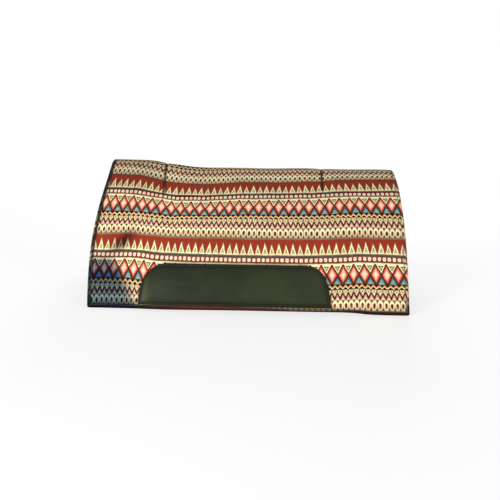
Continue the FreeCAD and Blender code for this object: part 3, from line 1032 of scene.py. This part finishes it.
tilt = add_node(stitch_run, "FunctionNodeRandomValue", {
    "Min": [-stitch_tilt] * 3, "Max": [stitch_tilt] * 3, "Seed": 7}, data_type="FLOAT_VECTOR")
tilted = add_node(stitch_run, "FunctionNodeRotateRotation", {
    "Rotation": turned_to.outputs[0], "Rotate By": tilt.outputs[0]}, rotation_space="LOCAL")
bead = add_node(stitch_run, "GeometryNodeMeshUVSphere", {"Segments": 8, "Rings": 6, "Radius": 1.0})
half_length = sum_up(stitch_run, "MULTIPLY", fed["Stitch Length"], 0.5)
bead_size = add_node(stitch_run, "ShaderNodeCombineXYZ", {
    0: half_length, 1: fed["Thread Radius"], 2: fed["Thread Radius"]})
shaped = add_node(stitch_run, "GeometryNodeTransform", {
    "Geometry": bead.outputs["Mesh"], "Scale": bead_size.outputs[0]})
along_run = add_node(stitch_run, "GeometryNodeInstanceOnPoints", {
    "Points": spaced.outputs[0], "Instance": shaped.outputs[0], "Rotation": tilted.outputs[0]})
real = add_node(stitch_run, "GeometryNodeRealizeInstances", {"Geometry": along_run.outputs[0]})
smooth = add_node(stitch_run, "GeometryNodeSetShadeSmooth", {0: real.outputs[0]})
coloured = add_node(stitch_run, "GeometryNodeSetMaterial", {
    "Geometry": smooth.outputs[0], "Material": fed["Thread"]})
stitch_run.links.new(coloured.outputs[0], give["Stitches"])


def sew(name, paths, thread, pitch, node):
    """Stitches along paths of points, as one plain mesh that stands for a CAD seam."""
    line = bpy.data.curves.new(name + "_path", "CURVE")
    line.dimensions = "3D"
    for path in paths:
        spline = line.splines.new("POLY")
        spline.points.add(len(path) - 1)
        flat = np.concatenate([path, np.ones((len(path), 1))], axis=1)
        spline.points.foreach_set("co", flat.reshape(-1))
    route = bpy.data.objects.new(name + "_path", line)
    scene.collection.objects.link(route)
    sewing = route.modifiers.new("sewing", "NODES")
    sewing.node_group = stitch_run
    sewing[sizes["Pitch"]] = pitch
    sewing[sizes["Stitch Length"]] = pitch * stitch_share
    sewing[sizes["Thread Radius"]] = thread_radius
    sewing[sizes["Thread"]] = thread
    evaluated = route.evaluated_get(bpy.context.evaluated_depsgraph_get())
    mesh = bpy.data.meshes.new_from_object(evaluated)
    mesh.name = name
    bpy.data.objects.remove(route)
    mesh.materials.clear()
    seam = add_piece(mesh, thread)
    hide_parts(node)


twisted, fed, give = new_group(
    "twisted thread", {"Place": (VECTOR, None), "Colour": (COLOUR, (0.1, 0.1, 0.1, 1.0))},
    {"Colour": COLOUR, "Height": FLOAT})
ply = add_node(twisted, "ShaderNodeTexWave", {
    "Vector": fed["Place"], "Scale": 900.0, "Distortion": 3.0, "Detail": 1.0},
    bands_direction="DIAGONAL").outputs["Fac"]
ply_tone = ranged(twisted, ply, (0.0, 1.0), (0.55, 1.15))
twisted.links.new(scaled(twisted, fed["Colour"], ply_tone), give["Colour"])
twisted.links.new(ply, give["Height"])


def thread_material(name, colour, roughness):
    material, tree, surface = new_material(name)
    place = add_node(tree, "ShaderNodeTexCoord").outputs["Object"]
    strands = place_group(tree, twisted, {"Place": place, "Colour": colour})
    dress(tree, surface, strands["Colour"], roughness, strands["Height"], 0.5, 0.0002)
    return material


seam_thread = thread_material("seam_thread", paint(84, 74, 56), 0.6)
thread_lift = ply_gap + 0.1
hem_seam_clear = 2.2
seam_depths = (-thread_lift, pad_thickness + thread_lift)
for end, name in ((-1, "front_edge"), (1, "rear_edge")):
    u = end * (hem_length / 2 - edge_stitch_inset)
    paths = []
    for depth in seam_depths:
        reach = level_edge(u, edge_stitch_inset, depth)
        paths.append(lie(u, np.linspace(-reach, reach, 320), depth))
    sew(name + "_stitches", paths, seam_thread, seam_pitch, name + "_stitching")
for side, name in ((1, "near_hem"), (-1, "off_hem")):
    u = np.linspace(-1.0, 1.0, 240) * (hem_length / 2 - edge_stitch_inset - hem_seam_clear)
    paths = [lie(u, side * level_edge(u, edge_stitch_inset, depth), depth) for depth in seam_depths]
    sew(name + "_stitches", paths, seam_thread, seam_pitch, name + "_stitching")
for dart, name in ((front_dart, "front_dart"), (rear_dart, "rear_dart")):
    share = np.linspace(-1.0, 1.0, 161)
    path = lie(dart["u"] + dart["slant"] * np.abs(share), share * dart["reach"], -0.2)
    sew(name + "_stitches", [path], seam_thread, close_pitch, name + "_seam")

# ---- wear leathers ----
# Smooth olive-black leather panels, low on each side where the stirrup leathers rub:
# edges skived and turned under, a little padding behind, sewn down 4.5 mm in.

leather_stitch_inset = 4.5
foot_points, side_points, corner_points, top_points = 100, 34, 30, 85
face_insets = (
    0.0, 0.25, 0.7, 1.2, 1.8, 2.4, 3.0, 3.6, 4.05, 4.5, 4.95, 5.5, 6.3, 7.4, 9.0,
    11.0, 13.5, 16.5, 20.0, 24.0, 28.5, 33.0, 37.0, 40.5)
back_insets = (0.35, 6.0, 20.0, 40.5)


def leather_half(inset, corner):
    """From the middle of the foot, round one end, to the middle of the top."""
    foot = leather_foot_height + inset
    top = leather_foot_height + leather_height - inset
    lean = leather_side_slant / leather_height
    half_foot = leather_foot_length / 2 - inset * (math.hypot(1.0, lean) + lean)
    half_top = half_foot - lean * (top - foot)
    radius = min(corner - inset, 0.86 * (top - foot))
    tilt = math.atan(lean)
    cut = radius * math.tan((math.pi / 2 - tilt) / 2)
    heel = np.array([half_foot, foot])
    middle = np.array([half_top - cut, top - radius])
    turn = np.linspace(tilt, math.pi / 2, corner_points, endpoint=False)[:, None]
    arc = middle + radius * np.concatenate([np.cos(turn), np.sin(turn)], axis=1)
    foot_run = np.linspace(0.0, 1.0, foot_points, endpoint=False)[:, None]
    side_run = np.linspace(0.0, 1.0, side_points, endpoint=False)[:, None]
    top_run = np.linspace(0.0, 1.0, top_points)[:, None]
    foot_middle = np.array([0.0, foot])
    top_end = np.array([half_top - cut, top])
    return np.concatenate([
        foot_middle + foot_run * (heel - foot_middle),
        heel + side_run * (arc[0] - heel),
        arc,
        top_end + top_run * (np.array([0.0, top]) - top_end)])


def leather_loop(inset):
    """One turn round the panel's outline, this far in from its edge."""
    rear = leather_half(inset, leather_rear_corner)
    front = leather_half(inset, leather_front_corner)[1:-1][::-1] * np.array([-1.0, 1.0])
    return np.concatenate([rear, front]) + np.array([leather_centre_x, 0.0])


def on_side(x, z, depth):
    """Sheet coordinates of the place on a side at this x and height."""
    u = np.array(x, float)
    distance = side_drop - np.array(z, float)
    for _ in range(14):
        down, angle = hang(u, distance)[1:]
        height = hang(u, side_drop)[1] - down - depth * np.cos(angle)
        u = u + (x - taken_up(u, distance))
        distance = distance + (height - z) / np.sin(angle)
    return u, distance


def leather_lift(inset):
    """Height of the grain side above the cover: skived edge, bead, stitch groove, pad."""
    edge = leather_thickness * (0.45 + 0.55 * min(1.0, inset / 1.6) ** 0.5)
    bead = 0.35 * math.exp(-((inset - 2.3) / 1.0) ** 2)
    groove = 0.95 * math.exp(-((inset - leather_stitch_inset) / 0.95) ** 2)
    dome = 4.2 * (1.0 - math.exp(-max(inset - leather_stitch_inset, 0.0) / 9.0))
    return ply_gap + edge + bead - groove + dome


def leather_ring(inset, side, lift):
    """One turn round the panel on a side, this far in and this far above the cover."""
    x, z = leather_loop(inset).T
    u, distance = on_side(x, z, -ply_gap)
    return lie(u, side * distance, -lift)


def zip_rows(low, high):
    """Triangles that close the gap between two rows of points with different counts."""
    faces = []
    a = b = 0
    while a < len(low) - 1 or b < len(high) - 1:
        ahead_low = (a + 1) / (len(low) - 1) if a < len(low) - 1 else 2.0
        ahead_high = (b + 1) / (len(high) - 1) if b < len(high) - 1 else 2.0
        if ahead_low <= ahead_high:
            faces.append((low[a], low[a + 1], high[b]))
            a += 1
        else:
            faces.append((low[a], high[b + 1], high[b]))
            b += 1
    return faces


def leather_panel(name, side):
    """The panel, as rings from the middle of its face out to the edge and in behind."""
    levels = [leather_ring(inset, side, leather_lift(inset)) for inset in face_insets[::-1]]
    levels += [leather_ring(inset, side, ply_gap / 2) for inset in back_insets]
    count = len(levels[0])
    faces = []
    for level in range(len(levels) - 1):
        first = np.arange(count) + level * count
        after = first + count
        faces += np.stack([first, np.roll(first, -1), np.roll(after, -1), after], axis=-1).tolist()
    for start in (0, (len(levels) - 1) * count):
        ring = list(range(start, start + count))
        low = ring[-(foot_points - 1):] + ring[:foot_points]
        high = ring[foot_points:-(foot_points - 1)][::-1]
        faces += zip_rows(low, high)
    points = np.concatenate(levels)
    mesh = closed_mesh(name, points, faces)
    add_mask(mesh, "from_edge", np.repeat([*face_insets[::-1], *[0.0] * len(back_insets)], count))
    x = points[:, 0] * 1000.0
    # Painted highlight: strong at the front end of the panel and faint over its rear half.
    add_mask(mesh, "painted_highlight", fade(x, -248.0, 5.0) + 0.13 * (1.0 - fade(x, 60.0, 40.0)))
    return mesh


grain, fed, give = new_group(
    "leather grain",
    {"Place": (VECTOR, None), "Pore Size": (FLOAT, 420.0), "Colour": (COLOUR, (0.1, 0.1, 0.1, 1.0)),
     "Worn Colour": (COLOUR, (0.2, 0.2, 0.2, 1.0))},
    {"Colour": COLOUR, "Roughness": FLOAT, "Height": FLOAT})
pebbles = add_node(grain, "ShaderNodeTexVoronoi", {
    "Vector": fed["Place"], "Scale": fed["Pore Size"]}, feature="DISTANCE_TO_EDGE").outputs["Distance"]
creases = noise(grain, fed["Place"], 90.0, 5.0, 0.8)[0]
wear = noise(grain, fed["Place"], 11.0, 3.0)[0]
flat_top = ranged(grain, pebbles, (0.0, 0.12))
worn = ranged(grain, wear, (0.42, 0.66))
tinted = blend_colours(grain, worn, fed["Colour"], fed["Worn Colour"])
pore_tone = ranged(grain, flat_top, (0.0, 1.0), (0.72, 1.0))
grain.links.new(scaled(grain, tinted, pore_tone), give["Colour"])
grain.links.new(ranged(grain, creases, (0.3, 0.7), (0.5, 0.66)), give["Roughness"])
grain.links.new(sum_up(grain, "MULTIPLY_ADD", creases, 0.5, flat_top), give["Height"])

wear_leather, tree, surface = new_material("wear_leather")
place = add_node(tree, "ShaderNodeTexCoord").outputs["Object"]
skin = place_group(tree, grain, {
    "Place": place, "Pore Size": 560.0, "Colour": paint(33, 39, 23), "Worn Colour": paint(41, 47, 29)})
inset = read_mask(tree, "from_edge")
# Painted highlight laid on the leather where the painted highlight mask is set.
leather_with_highlight = blend_colours(tree, read_mask(tree, "painted_highlight"), skin["Colour"], paint(78, 86, 54))
# Painted shade: the panel darkens towards its edges, round the dome.
leather_with_edge_shade = scaled(tree, leather_with_highlight, ranged(tree, inset, (5.0, 16.0), (0.72, 1.05)))
turned_rim = ranged(tree, inset, (3.2, 4.0), (1.0, 0.0))
rimmed = blend_colours(tree, turned_rim, leather_with_edge_shade, paint(46, 44, 28))
# Near-black at the cut edge, partly the edge's own dye and partly painted shade, and painted shade in
# the stitch groove.
cut_edge = ranged(tree, inset, (1.5, 3.1), (0.97, 0.0))
to_groove = sum_up(tree, "ABSOLUTE", sum_up(tree, "SUBTRACT", inset, leather_stitch_inset + 0.9))
painted_groove_shade = ranged(tree, to_groove, (0.6, 1.7), (0.85, 0.0))
edge_dye_and_groove_shade = sum_up(tree, "MAXIMUM", cut_edge, painted_groove_shade)
leather_with_edge_dye_and_shade = blend_colours(tree, edge_dye_and_groove_shade, rimmed, paint(8, 8, 6))
dress(tree, surface, leather_with_edge_dye_and_shade, skin["Roughness"], skin["Height"], 0.3, 0.0003)
surface.inputs["Specular IOR Level"].default_value = 0.12

leather_thread = thread_material("leather_thread", paint(26, 27, 22), 0.5)
leather_thread_rise = 0.35
for side, name in ((1, "near"), (-1, "off")):
    panel = add_piece(leather_panel(name + "_leather_panel", side), wear_leather)
    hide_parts(name + "_wear_leather")
    lift = leather_lift(leather_stitch_inset) + leather_thread_rise
    path = leather_ring(leather_stitch_inset, side, lift)
    path = np.concatenate([path, path[:1]])
    sew(name + "_leather_stitches", [path], leather_thread, close_pitch,
        name + "_leather_stitching")
